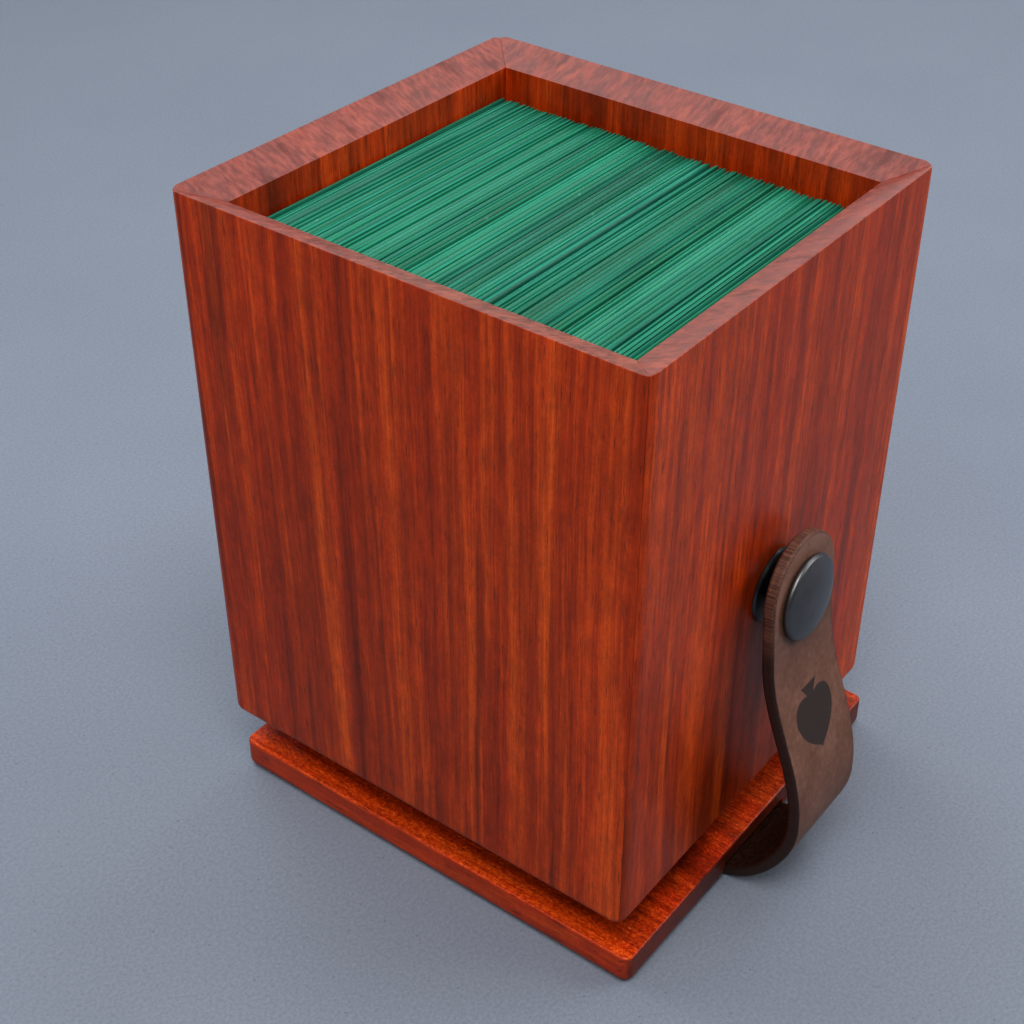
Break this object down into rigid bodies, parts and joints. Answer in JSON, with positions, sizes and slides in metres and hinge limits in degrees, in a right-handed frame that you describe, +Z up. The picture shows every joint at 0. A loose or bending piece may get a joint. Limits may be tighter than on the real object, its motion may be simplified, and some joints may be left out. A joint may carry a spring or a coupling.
{
  "type": "card deck box",
  "caption": "Wooden box for a deck of sleeved cards, standing on its upturned plug lid, held by a leather strap with a press stud.",
  "frame": {"origin": "middle of the lid's outer face, which the object rests on", "axes": "+X across the strap, +Y from the strap's side to the back of the box, +Z up out of the box's mouth"},
  "size_m": [0.082, 0.1034, 0.1197],
  "materials": {
    "box_wood": "satin oil over orange-red hardwood with dark streaks, grain upright",
    "lid_wood": "satin oil over orange-red hardwood, grain from front to back",
    "strap_leather": "waxed grain side, dark dyed edges",
    "cap_metal": "satin gunmetal plate",
    "stud_metal": "dark nickel plate",
    "screw_steel": "zinc plated",
    "card_sleeves": "thin matte plastic sleeves, edge on"
  },
  "bodies": {
    "lid": {"lid_plate": "lid_wood", "lid_plug": "lid_wood", "strap_root": "strap_leather", "root_screws": "screw_steel"},
    "box": {"front_wall": "box_wood", "back_wall": "box_wood", "left_wall": "box_wood", "right_wall": "box_wood", "bottom_panel": "box_wood", "snap_stud": "stud_metal", "stud_screw": "screw_steel"},
    "deck": {"sleeved_cards": "card_sleeves"},
    "strap": {"strap_tail": "strap_leather", "snap_cap": "cap_metal", "snap_socket": "stud_metal", "socket_spring": "screw_steel"}
  },
  "joints": [
    {"name": "box_pull_off", "type": "slide", "parent": "lid", "child": "box", "axis": [0, 1, 0], "range_m": [0, 0.1]},
    {"name": "deck_lift", "type": "slide", "parent": "box", "child": "deck", "axis": [0, 0, 1], "range_m": [0, 0.105]},
    {"name": "strap_swing", "type": "hinge", "parent": "lid", "child": "strap", "pos_m": [0, -0.05243, 0.00647], "axis": [1, 0, 0], "range_deg": [0, 90]}
  ]
}
